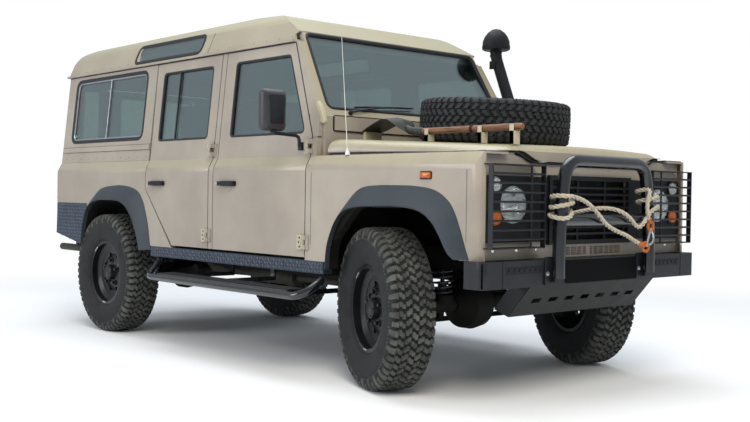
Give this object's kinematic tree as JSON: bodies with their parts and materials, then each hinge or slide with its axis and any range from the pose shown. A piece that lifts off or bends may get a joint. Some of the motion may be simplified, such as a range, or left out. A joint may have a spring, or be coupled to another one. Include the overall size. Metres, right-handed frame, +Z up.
{
  "type": "army 4x4 car",
  "caption": "Sand-coloured long-wheelbase 4x4 station wagon with hinged doors and bonnet, bull bar, lamp guards, side steps, raised intake and spare wheel on the bonnet.",
  "frame": {"origin": "centre of the plan of the car's box, on the ground", "axes": "+Y towards the tail, so that the front faces -Y; +X towards the car's left; +Z up"},
  "size_m": [2.15, 4.5069, 2.046],
  "materials": {
    "sand_paint": "satin",
    "black_plastic": "matte",
    "black_steel": "satin",
    "tyre_rubber": "dusty",
    "clear_glass": "clear",
    "amber_plastic": "gloss",
    "bare_steel": "dull",
    "ash_wood": "worn",
    "grey_cloth": "matte",
    "rope_fibre": "matte"
  },
  "bodies": {
    "car": {"aerial_wipers": "black_steel", "arch_flares": "black_plastic", "body_sides": "sand_paint", "bull_bar": "black_steel", "chassis_frame": "black_steel", "chequer_plates": "black_plastic", "clear_lamps": "clear_glass", "dashboard": "black_plastic", "drivetrain": "black_steel", "exhaust": "bare_steel", "fixed_glass": "clear_glass", "floor_bulkhead": "sand_paint", "front_axle": "black_steel", "front_bumper": "black_steel", "front_panel": "sand_paint", "front_wings": "sand_paint", "fuel_tank": "black_plastic", "grille": "black_plastic", "lamp_guards": "black_steel", "raised_intake": "black_plastic", "rear_axle": "black_steel", "rear_tub": "sand_paint", "roof": "sand_paint", "rope_fittings": "black_steel", "scuttle": "sand_paint", "seats": "grey_cloth", "side_steps": "black_steel", "signal_lamps": "amber_plastic", "suspension": "black_steel", "tow_rope": "rope_fibre", "windscreen_frame": "sand_paint"},
    "knuckle_left": {"knuckle_left": "black_steel"},
    "knuckle_right": {"knuckle_right": "black_steel"},
    "track_rod": {"track_rod": "black_steel"},
    "wheel_front_left": {"tyre_front_left": "tyre_rubber", "rim_front_left": "black_steel"},
    "wheel_front_right": {"tyre_front_right": "tyre_rubber", "rim_front_right": "black_steel"},
    "wheel_rear_left": {"tyre_rear_left": "tyre_rubber", "rim_rear_left": "black_steel"},
    "wheel_rear_right": {"tyre_rear_right": "tyre_rubber", "rim_rear_right": "black_steel"},
    "steering_wheel": {"steering_wheel": "black_plastic"},
    "door_front_left": {"front_door_left": "sand_paint", "front_door_glass_left": "clear_glass", "mirror_left": "black_plastic"},
    "door_front_right": {"front_door_right": "sand_paint", "front_door_glass_right": "clear_glass", "mirror_right": "black_plastic"},
    "door_rear_left": {"rear_door_left": "sand_paint", "rear_door_glass_left": "clear_glass"},
    "door_rear_right": {"rear_door_right": "sand_paint", "rear_door_glass_right": "clear_glass"},
    "tail_door": {"tail_door": "sand_paint", "tail_door_glass": "clear_glass"},
    "bonnet": {"bonnet": "sand_paint", "spare_tyre": "tyre_rubber", "spare_rim": "black_steel", "shovel": "ash_wood"}
  },
  "joints": [
    {"name": "steer_left", "type": "hinge", "parent": "car", "child": "knuckle_left", "pos_m": [0.605, -1.452, 0.403], "axis": [0, 0, 1], "range_deg": [-12, 52]},
    {"name": "steer_right", "type": "hinge", "parent": "car", "child": "knuckle_right", "pos_m": [-0.605, -1.452, 0.403], "axis": [0, 0, 1], "range_deg": [-12, 52]},
    {"name": "track_rod_end", "type": "hinge", "parent": "knuckle_left", "child": "track_rod", "pos_m": [0.66656, -1.28286, 0.3], "axis": [0, 0, 1], "range_deg": [-52, 12]},
    {"name": "steering_column", "type": "hinge", "parent": "car", "child": "steering_wheel", "pos_m": [-0.4, -0.552, 1.18], "axis": [0, 0.8829, 0.4695], "range_deg": [-228, 988]},
    {"name": "roll_front_left", "type": "hinge", "parent": "knuckle_left", "child": "wheel_front_left", "pos_m": [0.73468, -1.4992, 0.403], "axis": [0.9397, -0.342, 0], "continuous": true},
    {"name": "roll_front_right", "type": "hinge", "parent": "knuckle_right", "child": "wheel_front_right", "pos_m": [-0.73468, -1.4048, 0.403], "axis": [0.9397, -0.342, 0], "continuous": true},
    {"name": "roll_rear_left", "type": "hinge", "parent": "car", "child": "wheel_rear_left", "pos_m": [0.743, 1.342, 0.403], "axis": [1, 0, 0], "continuous": true},
    {"name": "roll_rear_right", "type": "hinge", "parent": "car", "child": "wheel_rear_right", "pos_m": [-0.743, 1.342, 0.403], "axis": [1, 0, 0], "continuous": true},
    {"name": "front_door_right_hinge", "type": "hinge", "parent": "car", "child": "door_front_right", "pos_m": [-0.846, -0.885, 0.709], "axis": [0.0354, 0, 0.9994], "range_deg": [0, 70]},
    {"name": "front_door_left_hinge", "type": "hinge", "parent": "car", "child": "door_front_left", "pos_m": [0.846, -0.885, 0.709], "axis": [0.0354, 0, -0.9994], "range_deg": [0, 70]},
    {"name": "rear_door_right_hinge", "type": "hinge", "parent": "car", "child": "door_rear_right", "pos_m": [-0.846, 0.057, 0.709], "axis": [0.0354, 0, 0.9994], "range_deg": [0, 70]},
    {"name": "rear_door_left_hinge", "type": "hinge", "parent": "car", "child": "door_rear_left", "pos_m": [0.846, 0.057, 0.709], "axis": [0.0354, 0, -0.9994], "range_deg": [0, 70]},
    {"name": "tail_door_hinge", "type": "hinge", "parent": "car", "child": "tail_door", "pos_m": [-0.447, 2.128, 1.2], "axis": [0, 0, 1], "range_deg": [0, 90]},
    {"name": "bonnet_hinge", "type": "hinge", "parent": "car", "child": "bonnet", "pos_m": [0, -0.986, 1.214], "axis": [-1, 0, 0], "range_deg": [0, 28]}
  ],
  "couplings": [
    {"joint": "steer_right", "follows": "steer_left", "ratio": 1},
    {"joint": "track_rod_end", "follows": "steer_left", "ratio": -1},
    {"joint": "steering_column", "follows": "steer_left", "ratio": 19}
  ]
}
